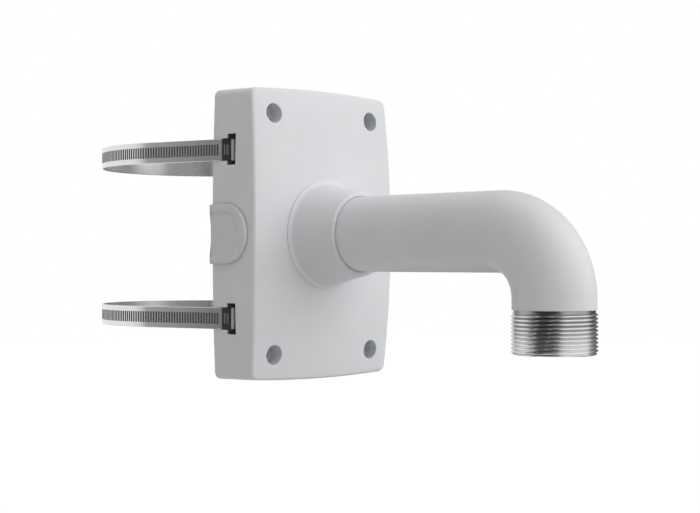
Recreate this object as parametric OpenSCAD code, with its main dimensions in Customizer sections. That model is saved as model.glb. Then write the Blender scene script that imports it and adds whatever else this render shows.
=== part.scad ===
// Strap-on bracket for a hanging camera.
// A cast housing with a V-cut rear is held by two worm-drive bands.
// A hollow gooseneck arm stands in the housing's collar and ends in a male pipe thread.
// Lengths are in millimetres and angles in degrees. The bands' axis is the Z axis, with z = 0 at
// the height of the arm, and the arm leaves along +X. Left is the -Y side and right the +Y side.

/* [Seat] */
// Inner diameter that the bands are set to
pole_d = 157; // [145:1:165]
// Angle between the two faces of the V cut
vee_angle = 140; // [136:1:146]
// Depth of the V cut, from the rear rim to its apex
vee_depth = 13.5; // [12:0.5:15]

/* [Housing] */
// Width of the housing at its front edge
front_w = 121.6; // [116:0.2:130]
// Height of the housing at its front edge
front_h = 184.6; // [180:0.2:200]
// Depth from the rear rim to the middle of the front face
housing_depth = 41.4; // [40:0.2:50]
// Radius of the domed front face
dome_r = 814; // [700:10:1200]
// Outward bulge of each side wall at mid-height
side_bulge = 2.1; // [1.2:0.1:3]
// Outward bulge of the top and bottom walls at mid-width
top_bulge = 1.8; // [1.2:0.1:3]
// Radius of the housing's four long corners
corner_r = 5; // [5:0.5:8]
// Radius of the rounded front edge
edge_r = 2; // [1:0.25:3]
// Draft angle of the walls
draft = 1.4; // [0.8:0.1:2]
// Thickness of the side, top and bottom walls
wall = 3.5; // [3:0.25:4.5]
// Thickness of the front plate
front_wall = 4; // [3:0.25:5]
// Thickness of the inner ribs
rib_t = 3; // [2:0.25:4]

/* [Mounting holes] */
// Spacing of the four mounting holes across
hole_spacing_y = 84.8; // [80:0.2:88]
// Spacing of the four mounting holes in height
hole_spacing_z = 150.8; // [146:0.2:154]
// Radius of the counterbore for a screw head
counterbore_r = 6.2; // [5.5:0.1:7]
// Depth of the counterbore
counterbore_depth = 10.5; // [8:0.5:14]
// Radius of the hole for the screw's shank
shank_hole_r = 4; // [3:0.25:4.5]
// Radius of the boss round each mounting hole
hole_boss_r = 9.5; // [9:0.25:11]

/* [Collar] */
// Radius of the collar where its cone meets the front face
collar_base_r = 32; // [30:0.5:35]
// Outer radius of the collar's rim
collar_rim_r = 26.45; // [26.2:0.05:28]
// Height of the collar's rim above the middle of the front face
collar_h = 30.6; // [26:0.2:36]
// Radius of the fillet at the collar's foot
collar_fillet = 3; // [2:0.5:4]
// Radius of the rounding on the collar's rim
rim_round = 0.8; // [0.4:0.1:1]
// Depth of the arm's socket behind the middle of the front face
socket_depth = 3.4; // [2:0.2:5]
// Thickness of the web that closes the socket
web_t = 6; // [5:0.5:7]
// Radius of the hub behind the front plate
hub_r = 29; // [27.5:0.5:31]

/* [Arm] */
// Outer radius of the arm
arm_r = 23.6; // [23:0.05:23.8]
// Radius of the cable passage in the arm
arm_bore_r = 19.5; // [18.5:0.25:20]
// Reach from the bands' axis to the centre of the threaded end
arm_reach = 292.5; // [270:0.5:330]
// Radius of the bend, to the middle of the tube
bend_r = 38; // [34:0.5:50]
// Height from the arm's axis down to the top of the thread
thread_drop = 44.1; // [40:0.1:80]

/* [Threaded end] */
// Radius over the thread's crests
thread_r = 24.13; // [23.9:0.01:24.5]
// Pitch of the thread
thread_pitch = 2.209; // [2:0.001:2.5]
// Length of the threaded stretch
thread_len = 24.65; // [22:0.05:34]
// Depth of the thread
thread_depth = 1.3; // [1:0.1:1.6]
// Width of the flat on each crest
crest_flat = 0.5; // [0.3:0.05:0.8]
// Chamfer at the open end
end_chamfer = 1; // [0.5:0.1:1.5]

/* [Arm fixing] */
// Radius of the circle that the four arm screws lie on
arm_screw_circle = 18.5; // [18.4:0.05:18.7]
// Radius of the arm screws
arm_screw_r = 2.5; // [2:0.1:2.6]
// Radius of the bosses inside the arm that take the screws
arm_boss_r = 5; // [4.6:0.1:5.1]
// Length of the bosses inside the arm
arm_boss_len = 18; // [16:0.5:24]
// Thickness of the boss's closed end
arm_boss_end = 2; // [1.5:0.25:3]
// Length of the arm screws under the head
arm_screw_len = 18; // [14:0.5:20]
// Thickness of the gasket under the arm
gasket_t = 1; // [0.5:0.1:2]
// Thickness of the washers
washer_t = 1; // [0.8:0.1:1.6]
// Inner radius of the rubber grommet
grommet_r = 10; // [8:0.25:10.5]
// Outer radius of the grommet's lips
grommet_lip_r = 13; // [12.5:0.1:13.2]

/* [Bands] */
// Width of a band
band_w = 13.7; // [12:0.1:15]
// Thickness of a band
band_t = 0.8; // [0.6:0.05:1]
// Height of each band's middle above or below the arm's axis
band_z = 53; // [51:0.5:56]
// Pitch of the pressed grooves
groove_pitch = 2.1; // [1.9:0.05:3]
// Width of a groove
groove_w = 1.05; // [0.8:0.05:1.2]
// Height of a groove
groove_h = 6.7; // [6:0.1:8]
// Depth of a groove
groove_depth = 0.45; // [0.3:0.05:0.5]
// Inner radius of the bends at the housing's windows
band_bend_r = 1.5; // [1.3:0.1:2]
// Depth of the bends' centres below the side wall's face
band_sink = 5.5; // [5:0.1:5.8]
// Distance from the rear rim to the sill that a band bends over on its way into the window
sill_x = 7.1; // [6.8:0.1:7.6]
// Depth of the sill's centre below the side wall's face
sill_sink = 2.3; // [2:0.1:2.6]
// Direction of the worm drives, measured from the arm round the bands' axis
clamp_az = 135; // [125:1:150]
// Length of the band's free tail past the worm drive
tail_len = 34; // [20:1:60]

/* [Band windows] */
// Distance from the rear rim to a band window
window_x = 12.8; // [12.4:0.1:13.6]
// Width of a band window
window_w = 8.1; // [7:0.1:9]
// Height of a band window
window_h = 19.5; // [18:0.1:21]
// Depth of the thick post beside each window, inside the wall
post_in = 9; // [8:0.5:11]

/* [Worm drive] */
// Radius over the worm's thread
worm_r = 4.4; // [4:0.1:4.8]
// Length of the worm
worm_len = 13; // [11:0.5:16]
// Pitch of the worm's thread as drawn
worm_pitch = 2.1; // [1.9:0.05:3]
// Thickness of the worm drive's sheet metal
clamp_wall = 0.9; // [0.8:0.05:1.2]
// Width across the flats of the screw's head
head_flats = 8; // [7:0.5:8]
// Height of the screw's head
head_h = 5; // [4:0.5:7]

/* [Side lids] */
// Radius of a lid's round end
lid_r = 18.8; // [17.5:0.1:20]
// Distance from the rear rim to the middle of a lid's round end
lid_x = 14.2; // [12:0.1:18]
// How far a lid's face stands proud of the wall, without its rim
lid_proud = 1.4; // [1:0.1:2]
// Height of the raised rim above the lid's face
lid_rim_h = 0.8; // [0.5:0.1:1.2]
// Width of the raised rim
lid_rim_w = 4.5; // [3:0.1:6]
// How far the lid laps over the edge of its slot
lid_lap = 3; // [2:0.25:4]
// Thickness of the lid's inner flange
lid_inner_t = 1.6; // [1.2:0.1:2.5]

/* [Clearances] */
// Gap between a band and the post that it bends round
band_clear = 0.2; // [0.15:0.05:0.25]
// Gap at each side of a band in its groove
band_side_clear = 0.25; // [0.2:0.05:0.5]
// Gap between the arm and its socket
socket_clear = 0.3; // [0.2:0.05:0.4]
// Gap round a lid in its slot
lid_clear = 0.3; // [0.2:0.05:0.4]
// Gap round a screw in its hole
screw_clear = 0.25; // [0.2:0.05:0.4]
// Gap round a threaded or running shaft
fit_clear = 0.05; // [0.03:0.01:0.09]
// Gap between two laps of a band and beside it
lap_clear = 0.05; // [0.05:0.01:0.1]

/* [Hidden] */
$fn = 96;

paint = [0.88, 0.89, 0.89];
lid_paint = [0.86, 0.87, 0.85];
rubber = [0.12, 0.12, 0.12];
steel = [0.72, 0.73, 0.74];
zinc = [0.62, 0.63, 0.65];

// Places along the arm's axis
pole_r = pole_d / 2;
apex_x = pole_r / sin(vee_angle / 2);
rear_x = apex_x - vee_depth;
face_x = rear_x + housing_depth;
rim_x = face_x + collar_h;
socket_x = face_x - socket_depth;
web_x = socket_x - web_t;
arm_x = socket_x + gasket_t;
beyond = 1;

// The outline: arcs of large radius for the sides, top and bottom, joined by corner arcs
half_w = front_w / 2;
half_h = front_h / 2;
side_r = (half_h * half_h + side_bulge * side_bulge) / (2 * side_bulge);
top_r = (half_w * half_w + top_bulge * top_bulge) / (2 * top_bulge);
side_edge_x = face_x - half_w * half_w / (2 * dome_r);
top_edge_x = face_x - half_h * half_h / (2 * dome_r);

// Half-width and half-height of the outline in the plane at x
function half_w_at(x) = half_w + (side_edge_x - x) * tan(draft);
function half_h_at(x) = half_h + (top_edge_x - x) * tan(draft);
// Half-width of the outline in the plane at x, at height z
function side_y(x, z) = half_w_at(x) - side_r + sqrt(side_r * side_r - z * z);
// The domed face over the point y, z
function dome_x(y, z) = face_x - dome_r + sqrt(dome_r * dome_r - y * y - z * z);

// Centre of the corner arc: where the inward offsets of the side and top arcs cross
function corner_centre(w, h) =
    let (
        a = [w - side_r, 0], ra = side_r - corner_r,
        b = [0, h - top_r], rb = top_r - corner_r,
        d = norm(b - a), along = (ra * ra - rb * rb + d * d) / (2 * d),
        u = (b - a) / d, across = sqrt(ra * ra - along * along)
    ) a + along * u + across * [-u[1], u[0]] * (u[1] < 0 ? 1 : -1);

side_steps = 5;
corner_steps = 5;
top_steps = 4;

// One quarter of the outline, inset by d, from the middle of the side to the middle of the top
function quarter(w, h, d) =
    let (
        p = corner_centre(w, h),
        low = atan2(p[1], p[0] - (w - side_r)),
        high = atan2(p[1] - (h - top_r), p[0])
    ) concat(
        [for (i = [0:side_steps - 1]) let (t = low * i / side_steps)
            [w - side_r + (side_r - d) * cos(t), (side_r - d) * sin(t)]],
        [for (i = [0:corner_steps]) let (t = low + (high - low) * i / corner_steps)
            p + (corner_r - d) * [cos(t), sin(t)]],
        [for (i = [1:top_steps]) let (t = high + (90 - high) * i / top_steps)
            [(top_r - d) * cos(t), h - top_r + (top_r - d) * sin(t)]]
    );

// The whole outline: the quarter and its mirror images, in order
function outline(w, h, d) =
    let (q = quarter(w, h, d), n = len(q)) concat(
        q,
        [for (i = [1:n - 1]) [-q[n - 1 - i][0], q[n - 1 - i][1]]],
        [for (i = [1:n - 1]) [-q[i][0], -q[i][1]]],
        [for (i = [1:n - 2]) [q[n - 1 - i][0], -q[n - 1 - i][1]]]
    );

// Rings of the block with a domed front: the rear rim, the rounded edge and the dome
edge_angles = [0, 22.5, 45, 67.5, 90];
cavity_edge_r = (corner_r - wall) / 2;
dome_shares = [0.85, 0.66, 0.46, 0.24];
function flat_ring(x, d) = [for (p = outline(half_w_at(x), half_h_at(x), d)) [x, p[0], p[1]]];
function dome_ring(share, d, back) =
    [for (p = outline(half_w, half_h, d)) let (q = share * p) [dome_x(q[0], q[1]) - back, q[0], q[1]]];

// A closed solid through rings that all have n points, from x low to x high
module lofted(rings, tip) {
    n = len(rings[0]);
    m = len(rings);
    points = concat([for (r = rings) each r], [tip]);
    polyhedron(points, concat(
        [[for (i = [0:n - 1]) i]],
        [for (k = [0:m - 2], i = [0:n - 1]) let (j = (i + 1) % n)
            [k * n + i, (k + 1) * n + i, k * n + j]],
        [for (k = [0:m - 2], i = [0:n - 1]) let (j = (i + 1) % n)
            [k * n + j, (k + 1) * n + i, (k + 1) * n + j]],
        [for (i = [0:n - 1]) [(m - 1) * n + i, m * n, (m - 1) * n + (i + 1) % n]]
    ));
}

// The housing's block, inset by d at its walls and set back from the face
module domed_block(x0, d, back, edge) {
    lofted(
        concat(
            [flat_ring(x0, d)],
            [for (t = edge_angles) dome_ring(1, d + edge * (1 - cos(t)), back + edge * (1 - sin(t)))],
            [for (k = dome_shares) dome_ring(k, d + edge, back)]
        ),
        [face_x - back, 0, 0]
    );
}

// Places the children at each of the four mounting holes
module at_mounting_holes() {
    for (sy = [-1, 1], sz = [-1, 1])
        translate([0, sy * hole_spacing_y / 2, sz * hole_spacing_z / 2]) children();
}

// A cylinder along X from x0 to x1
module rod_x(x0, x1, r) {
    translate([x0, 0, 0]) rotate([0, 90, 0]) cylinder(h = x1 - x0, r = r);
}

// The bands' path in plan: an arc, straight to the sill in the side wall, then steeply down
// into the window and round its jamb
band_out_r = pole_r + band_t;
jamb_x = rear_x + window_x;
bend_x = jamb_x + band_clear - band_bend_r;
bend_y = side_y(bend_x, band_z) - band_sink;
bend = [bend_x, bend_y];
sill = [rear_x + sill_x, side_y(rear_x + sill_x, band_z) - sill_sink];
leave_a = atan2(sill[1], sill[0]) + acos((pole_r - band_bend_r) / norm(sill));
straight_len = sqrt(sill * sill - (pole_r - band_bend_r) * (pole_r - band_bend_r));
dip_a = atan2(bend[0] - sill[0], sill[1] - bend[1]);
dip_len = norm(bend - sill);
function toward(a) = [cos(a), sin(a)];

// Places the children on both sides, mirrored
module both_sides() {
    children();
    mirror([0, 1, 0]) children();
}

// The cut that leads a band into its window: a ramp with a bevelled inner corner
module band_ramp() {
    r = band_bend_r - band_clear;
    over_a = (leave_a + dip_a) / 2;
    n = toward(leave_a);
    far_x = rear_x - vee_depth;
    far_y = (pole_r - band_clear - n[0] * far_x) / n[1];
    out_y = half_w_at(far_x) + vee_depth;
    h = band_w + 2 * band_side_clear;
    translate([0, 0, -h / 2]) linear_extrude(h) polygon([
        [far_x, far_y],
        sill + r / cos(leave_a - over_a) * toward(over_a),
        bend + r / cos(dip_a / 4) * toward(3 * dip_a / 4),
        bend + r / cos(dip_a / 4) * toward(dip_a / 4),
        [jamb_x + beyond, bend_y],
        [jamb_x + beyond, out_y],
        [far_x, out_y],
    ]);
}

// Ribs, posts, bosses and the hub that stay when the cavity is cut
rib_z = window_h / 2 + rib_t / 2;
module inner_structure() {
    for (sz = [-1, 1], dz = [-rib_z, rib_z])
        translate([rear_x - 2 * beyond, -front_w, sz * band_z + dz - rib_t / 2])
            cube([2 * housing_depth, 2 * front_w, rib_t]);
    for (sz = [-1, 1]) both_sides()
        translate([rear_x - 2 * beyond, half_w_at(rear_x) - post_in, sz * band_z - rib_z])
            cube([window_x + 2 * beyond, 2 * post_in, 2 * rib_z]);
    at_mounting_holes() rod_x(rear_x - 2 * beyond, rim_x, hole_boss_r);
    rod_x(web_x, rim_x, hub_r);
}

// The outline of a lid in its own plane: a half disc with a straight tail to the rear rim
module lid_outline(r, gap) {
    circle(r = r + gap);
    translate([-lid_x - gap, -r - gap]) square([lid_x + gap, 2 * (r + gap)]);
}

lid_neck_r = lid_r - lid_lap;
// Places the children on the left wall: X towards the front, Y up, Z out of the wall
module on_left_wall() {
    x = rear_x + lid_x;
    translate([x, -half_w_at(x), 0]) rotate([0, 0, draft]) rotate([90, 0, 0]) children();
}

module lid_slot() {
    on_left_wall() translate([0, 0, -wall * 2]) linear_extrude(wall * 4) {
        circle(r = lid_neck_r + lid_clear);
        translate([-lid_x - wall * 2, -lid_neck_r - lid_clear])
            square([lid_x + wall * 2, 2 * (lid_neck_r + lid_clear)]);
    }
}

// The collar's profile, as radius and height above the middle of the front face
collar_slope = (collar_base_r - collar_rim_r) / collar_h;
fillet_steps = 5;
module collar() {
    lean = atan(collar_slope);
    foot_r = collar_base_r + collar_fillet * (1 + sin(lean)) / cos(lean) - collar_fillet * collar_slope;
    translate([face_x, 0, 0]) rotate([0, 90, 0]) rotate_extrude() polygon(concat(
        [[0, -front_wall / 2], [foot_r, -front_wall / 2]],
        [for (i = [0:fillet_steps]) let (t = 270 - (90 - lean) * i / fillet_steps)
            [foot_r + collar_fillet * cos(t), collar_fillet + collar_fillet * sin(t)]],
        [for (i = [0:fillet_steps]) let (t = 90 * i / fillet_steps)
            [collar_rim_r - rim_round * (1 - cos(t)), collar_h - rim_round * (1 - sin(t))]],
        [[0, collar_h]]
    ));
}

// Places the children at each of the four arm screws
function arm_screw_angle(i) = 45 + 90 * (i - 1);
module at_arm_screw(i) {
    rotate([arm_screw_angle(i), 0, 0]) translate([0, arm_screw_circle, 0]) children();
}

web_hole_r = grommet_r + 2;
module housing() {
    color(paint) difference() {
        union() {
            domed_block(rear_x, 0, 0, edge_r);
            collar();
        }
        difference() {
            domed_block(rear_x - beyond, wall, front_wall, cavity_edge_r);
            inner_structure();
        }
        linear_extrude(3 * front_h, center = true) polygon([
            [apex_x, 0],
            [rear_x - vee_depth, 2 * vee_depth * tan(vee_angle / 2)],
            [rear_x - vee_depth, -2 * vee_depth * tan(vee_angle / 2)],
        ]);
        rod_x(socket_x, rim_x + beyond, arm_r + socket_clear);
        rod_x(web_x - beyond, socket_x + beyond, web_hole_r);
        for (i = [1:4]) at_arm_screw(i)
            rod_x(web_x - beyond, socket_x + beyond, arm_screw_r + screw_clear);
        at_mounting_holes() {
            x = dome_x(hole_spacing_y / 2, hole_spacing_z / 2) - counterbore_depth;
            rod_x(x, face_x + beyond, counterbore_r);
            rod_x(rear_x - beyond, x + beyond, shank_hole_r);
        }
        for (sz = [-1, 1]) both_sides() translate([0, 0, sz * band_z]) {
            band_ramp();
            translate([jamb_x, half_w_at(rear_x) - post_in - beyond, -window_h / 2])
                cube([window_w, post_in + 2 * beyond, window_h]);
        }
        both_sides() lid_slot();
    }
}

// Outline of the tube's wall with the thread, as radius and distance from the open end
thread_top = -thread_drop;
arm_end_z = thread_top - thread_len;
crest_count = floor((thread_len - end_chamfer) / thread_pitch) - 1;
module threaded_end() {
    flank = (thread_pitch - crest_flat) / 2;
    root_r = thread_r - thread_depth;
    first = end_chamfer + crest_flat;
    translate([arm_reach, 0, arm_end_z]) rotate_extrude() polygon(concat(
        [[arm_bore_r, 0], [thread_r - end_chamfer, 0], [thread_r, end_chamfer], [thread_r, first]],
        [for (i = [0:crest_count - 1]) let (h = first + i * thread_pitch) each [
            [root_r, h + flank], [thread_r, h + 2 * flank], [thread_r, h + thread_pitch]]],
        [[root_r, thread_len - beyond], [root_r, thread_len], [arm_bore_r, thread_len]]
    ));
}

module arm() {
    bend_x0 = arm_reach - bend_r;
    color(paint) difference() {
        union() {
            rod_x(arm_x, bend_x0, arm_r);
            translate([bend_x0, 0, -bend_r]) rotate([90, 0, 0])
                rotate_extrude(angle = 90) translate([bend_r, 0]) circle(r = arm_r);
            translate([arm_reach, 0, thread_top])
                cylinder(h = thread_drop - bend_r, r = arm_r);
            threaded_end();
        }
        difference() {
            rod_x(arm_x - beyond, bend_x0, arm_bore_r);
            for (i = [1:4]) at_arm_screw(i)
                rod_x(arm_x - 2 * beyond, arm_x + arm_boss_len, arm_boss_r);
        }
        translate([bend_x0, 0, -bend_r]) rotate([90, 0, 0])
            rotate_extrude(angle = 90) translate([bend_r, 0]) circle(r = arm_bore_r);
        translate([arm_reach, 0, thread_top - beyond])
            cylinder(h = thread_drop - bend_r + beyond, r = arm_bore_r);
        for (i = [1:4]) at_arm_screw(i)
            rod_x(arm_x - beyond, arm_x + arm_boss_len - arm_boss_end, arm_screw_r + fit_clear);
    }
}

module arm_gasket() {
    color(rubber) difference() {
        rod_x(socket_x, arm_x, arm_r);
        rod_x(socket_x - beyond, arm_x + beyond, grommet_lip_r + lap_clear);
        for (i = [1:4]) at_arm_screw(i)
            rod_x(socket_x - beyond, arm_x + beyond, arm_screw_r + screw_clear);
    }
}

module cable_grommet() {
    lip = 2;
    color(rubber) difference() {
        union() {
            rod_x(web_x - lip, web_x, grommet_lip_r);
            rod_x(web_x - lip, socket_x + lip, web_hole_r - fit_clear);
            rod_x(socket_x, socket_x + lip, grommet_lip_r);
        }
        rod_x(web_x - 2 * lip, socket_x + 2 * lip, grommet_r);
    }
}

// Socket-head screw: head behind the web, shank through web and gasket into the arm
module arm_screw(i) {
    head_r = 1.7 * arm_screw_r;
    head_len = 2 * arm_screw_r;
    under = web_x - washer_t;
    color(zinc) at_arm_screw(i) difference() {
        union() {
            rod_x(under - head_len, under, head_r);
            rod_x(under - beyond, under + arm_screw_len, arm_screw_r);
        }
        translate([under - head_len - beyond, 0, 0]) rotate([0, 90, 0])
            cylinder(h = beyond + head_len / 2, r = 0.92 * arm_screw_r, $fn = 6);
    }
}

module arm_washer(i) {
    color(zinc) at_arm_screw(i) difference() {
        rod_x(web_x - washer_t, web_x, 2 * arm_screw_r);
        rod_x(web_x - washer_t - beyond, web_x + beyond, arm_screw_r + screw_clear);
    }
}

// A lid: outer flange with a raised rim, a neck through the slot and an inner flange
module left_side_lid() {
    neck = wall + 2 * lid_clear;
    face = lid_clear + lid_proud;
    dish_r = lid_r - lid_rim_w;
    color(lid_paint) on_left_wall() difference() {
        union() {
            translate([0, 0, lid_clear]) linear_extrude(lid_proud + lid_rim_h) lid_outline(lid_r, 0);
            translate([0, 0, -neck]) linear_extrude(neck + lid_clear + beyond / 2)
                lid_outline(lid_neck_r, 0);
            translate([0, 0, -neck - lid_inner_t]) linear_extrude(lid_inner_t)
                lid_outline(lid_r - lid_clear, 0);
        }
        translate([0, 0, face]) linear_extrude(lid_rim_h + beyond) {
            circle(r = dish_r);
            translate([-lid_x - beyond, -dish_r]) square([lid_x + beyond, 2 * dish_r]);
        }
        translate([-lid_x - 2 * lid_r, -2 * lid_r, -2 * lid_r]) cube([2 * lid_r, 4 * lid_r, 4 * lid_r]);
    }
}

module right_side_lid() {
    mirror([0, 1, 0]) left_side_lid();
}

// The region inside the loop in front of the arc, grown by g: its straights start just inside the
// tangent points, so that they cross the round part at a slight angle
straight_inset = 0.1;
sill_steps = 3;
bend_steps = 6;
module front_region(g) {
    r = band_bend_r + g;
    side = concat(
        [(pole_r + g - straight_inset) * toward(leave_a)],
        [for (i = [0:sill_steps]) sill + r * toward(leave_a + (dip_a - leave_a) * i / sill_steps)],
        [for (i = [0:bend_steps]) bend + r * toward(dip_a * (1 - i / bend_steps))]
    );
    n = len(side);
    polygon(concat(side, [for (i = [n - 1:-1:0]) [side[i][0], -side[i][1]]]));
}

// A wedge from the bands' axis, between the angles a0 and a1
module wedge(a0, a1) {
    steps = 4;
    polygon(concat([[0, 0]], [for (i = [0:steps]) let (t = a0 + (a1 - a0) * i / steps)
        2 * pole_r * [cos(t), sin(t)]]));
}

// A plate of band width, centred in height, and the taller one that cuts through it
module band_plate(extra = 0) {
    linear_extrude(band_w + extra, center = true) children();
}

module disc(r, extra = 0) {
    cylinder(h = band_w + extra, r = r, center = true);
}

// One pressed groove in the face at x = 0, in a band that lies in the plane x = 0
module groove() {
    translate([-groove_depth, -groove_w / 2, -groove_h / 2]) cube([beyond, groove_w, groove_h]);
}

// Grooves in an arc with outer radius r, from angle a0 towards a1
module arc_grooves(r, a0, a1) {
    step = groove_pitch / r * 180 / PI;
    for (i = [0:floor(abs(a1 - a0) / step)])
        rotate([0, 0, a0 + (a1 > a0 ? step : -step) * i]) translate([r, 0, 0]) groove();
}

// Grooves along a straight of the given length, which starts where the normal at angle a leaves the
// round of radius r
module straight_grooves(a, r, len) {
    rotate([0, 0, a]) for (i = [0:floor((len - groove_pitch) / groove_pitch)])
        translate([r + band_t, -(i + 0.5) * groove_pitch, 0]) groove();
}

// The worm drive covers the band's fixed end, and the other end rises and laps over it
clamp_len = worm_len + 1 + 2 * clamp_wall;
lap_r = band_out_r + lap_clear;
lap_out_r = lap_r + band_t;
function arc_angle(len, r) = len / r * 180 / PI;
clamp_half_a = arc_angle(clamp_len / 2, pole_r);
fixed_end_a = clamp_az + clamp_half_a / 2;
lap_a = clamp_az + clamp_half_a;
rise_a = lap_a + arc_angle(5, pole_r);
tail_a = clamp_az - clamp_half_a - arc_angle(tail_len, lap_r);
groove_margin_a = arc_angle(2 * groove_pitch, pole_r);
groove_half_a = arc_angle(groove_pitch / 2, band_out_r);

// The stretch that rises from the arc to the lap, run a little into both
module rise() {
    low = pole_r * [cos(rise_a), sin(rise_a)];
    high = lap_r * [cos(lap_a), sin(lap_a)];
    u = (high - low) / norm(high - low);
    out = [-u[1], u[0]];
    a = low - band_t / 2 * u;
    b = high + band_t / 2 * u;
    polygon([a, b, b + band_t * out, a + band_t * out]);
}

module band_loop() {
    difference() {
        union() {
            disc(band_out_r);
            band_plate() front_region(band_t);
        }
        disc(pole_r, beyond);
        band_plate(beyond) front_region(0);
        band_plate(beyond) wedge(fixed_end_a, rise_a);
    }
    intersection() {
        difference() {
            disc(lap_out_r);
            disc(lap_r, beyond);
        }
        band_plate(beyond) wedge(tail_a, lap_a);
    }
    band_plate() rise();
}

module band() {
    color(steel) difference() {
        band_loop();
        arc_grooves(band_out_r, leave_a + groove_half_a, tail_a - groove_margin_a);
        arc_grooves(band_out_r, 360 - leave_a - groove_half_a, rise_a + groove_margin_a);
        arc_grooves(lap_out_r, tail_a + groove_margin_a, clamp_az - clamp_half_a - groove_margin_a / 2);
        both_sides() {
            straight_grooves(leave_a, pole_r, straight_len);
            translate([sill[0], sill[1], 0]) straight_grooves(dip_a, band_bend_r, dip_len);
        }
    }
}

module upper_band() {
    translate([0, 0, band_z]) band();
}

module lower_band() {
    translate([0, 0, -band_z]) band();
}

// The worm drive in its own frame: X out from the bands' axis, Y round it, Z up
worm_x = lap_out_r + 0.3 + worm_r;
module at_clamp() {
    rotate([0, 0, clamp_az]) children();
}

// A solid along Y, centred, with the profile given in X and Z
module along_y(len) {
    translate([0, len / 2, 0]) rotate([90, 0, 0]) linear_extrude(len) children();
}

// Profile of the worm drive's cover: legs beside the band and an arch round the worm
module cover_profile(leg, arch, shoulder, foot) {
    polygon([[foot, -leg], [shoulder, -leg], [worm_x, -arch], [worm_x, arch], [shoulder, leg], [foot, leg]]);
    translate([worm_x, 0]) circle(r = arch);
}

front_journal_r = 3;
rear_journal_r = 2;
module clamp_housing() {
    leg = band_w / 2 + 2 * lap_clear;
    arch = worm_r + 0.4;
    shoulder = lap_out_r + 0.3;
    inner_len = clamp_len - 2 * clamp_wall;
    color(steel) at_clamp() difference() {
        along_y(clamp_len)
            cover_profile(leg + clamp_wall, arch + clamp_wall, shoulder + clamp_wall, pole_r - 1);
        along_y(inner_len) cover_profile(leg, arch, shoulder, pole_r - 2);
        translate([pole_r - 3, -clamp_len, -leg]) cube([shoulder - pole_r + 3, 2 * clamp_len, 2 * leg]);
        translate([worm_x, 0, 0]) rotate([-90, 0, 0]) cylinder(h = clamp_len, r = front_journal_r);
        translate([worm_x, 0, 0]) rotate([90, 0, 0]) cylinder(h = clamp_len, r = rear_journal_r);
        cylinder(h = 3 * band_w, r = pole_r + lap_clear, center = true);
    }
}

module upper_clamp_housing() {
    translate([0, 0, band_z]) clamp_housing();
}

module lower_clamp_housing() {
    translate([0, 0, -band_z]) clamp_housing();
}

// The worm with its ridges, two journals and a slotted hexagon head
module worm_screw() {
    half = worm_len / 2;
    turns = floor(worm_len / worm_pitch);
    ridge = worm_pitch / 4;
    root = worm_r - 0.9;
    lead = (worm_len - turns * worm_pitch) / 2;
    head_y = clamp_len / 2 + 0.3;
    collar_t = 1.2;
    color(zinc) at_clamp() translate([worm_x, 0, 0]) rotate([-90, 0, 0]) difference() {
        union() {
            rotate_extrude() polygon(concat(
                [[0, -half], [root, -half]],
                [for (i = [0:turns - 1]) let (h = -half + lead + i * worm_pitch) each [
                    [root, h + ridge / 2], [worm_r, h + ridge],
                    [worm_r, h + 2 * ridge], [root, h + 2.5 * ridge]]],
                [[root, half], [0, half]]
            ));
            cylinder(h = head_y + collar_t / 2, r = front_journal_r - fit_clear);
            translate([0, 0, -clamp_len / 2 - 0.4])
                cylinder(h = clamp_len / 2, r = rear_journal_r - fit_clear);
            translate([0, 0, head_y]) cylinder(h = collar_t, r = worm_r + 0.35);
            translate([0, 0, head_y + collar_t / 2])
                cylinder(h = head_h + collar_t / 2, r = head_flats / 2 / cos(30), $fn = 6);
        }
        translate([-head_flats, -0.6, head_y + collar_t + head_h - 1.5])
            cube([2 * head_flats, 1.2, 3]);
    }
}

module upper_worm_screw() {
    translate([0, 0, band_z]) worm_screw();
}

module lower_worm_screw() {
    translate([0, 0, -band_z]) worm_screw();
}

housing();
arm();
arm_gasket();
cable_grommet();
arm_screw(1);  // arm_screw_1
arm_screw(2);  // arm_screw_2
arm_screw(3);  // arm_screw_3
arm_screw(4);  // arm_screw_4
arm_washer(1);  // arm_washer_1
arm_washer(2);  // arm_washer_2
arm_washer(3);  // arm_washer_3
arm_washer(4);  // arm_washer_4
left_side_lid();
right_side_lid();
upper_band();
lower_band();
upper_clamp_housing();
lower_clamp_housing();
upper_worm_screw();
lower_worm_screw();
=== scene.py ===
"""Looks of a strap-on camera bracket: painted casting and gooseneck arm, turned pipe thread,
plastic side lids and stainless worm-drive bands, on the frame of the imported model."""
import math

import bpy
import numpy as np
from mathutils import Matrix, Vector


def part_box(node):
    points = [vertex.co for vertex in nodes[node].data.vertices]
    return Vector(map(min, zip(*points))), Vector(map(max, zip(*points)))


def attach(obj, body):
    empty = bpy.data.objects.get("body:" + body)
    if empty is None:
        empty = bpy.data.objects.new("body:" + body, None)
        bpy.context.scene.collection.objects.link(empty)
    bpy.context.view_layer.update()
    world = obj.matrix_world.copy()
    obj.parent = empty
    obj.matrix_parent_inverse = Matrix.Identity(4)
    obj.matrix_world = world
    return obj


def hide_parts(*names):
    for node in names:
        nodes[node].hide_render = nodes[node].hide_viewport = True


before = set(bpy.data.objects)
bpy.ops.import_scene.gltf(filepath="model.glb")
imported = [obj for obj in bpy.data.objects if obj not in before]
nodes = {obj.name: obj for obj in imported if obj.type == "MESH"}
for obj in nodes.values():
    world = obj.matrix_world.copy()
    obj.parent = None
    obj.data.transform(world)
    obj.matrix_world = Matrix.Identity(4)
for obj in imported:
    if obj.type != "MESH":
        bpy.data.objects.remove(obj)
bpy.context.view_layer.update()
scene = bpy.context.scene
MM = 0.001

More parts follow.
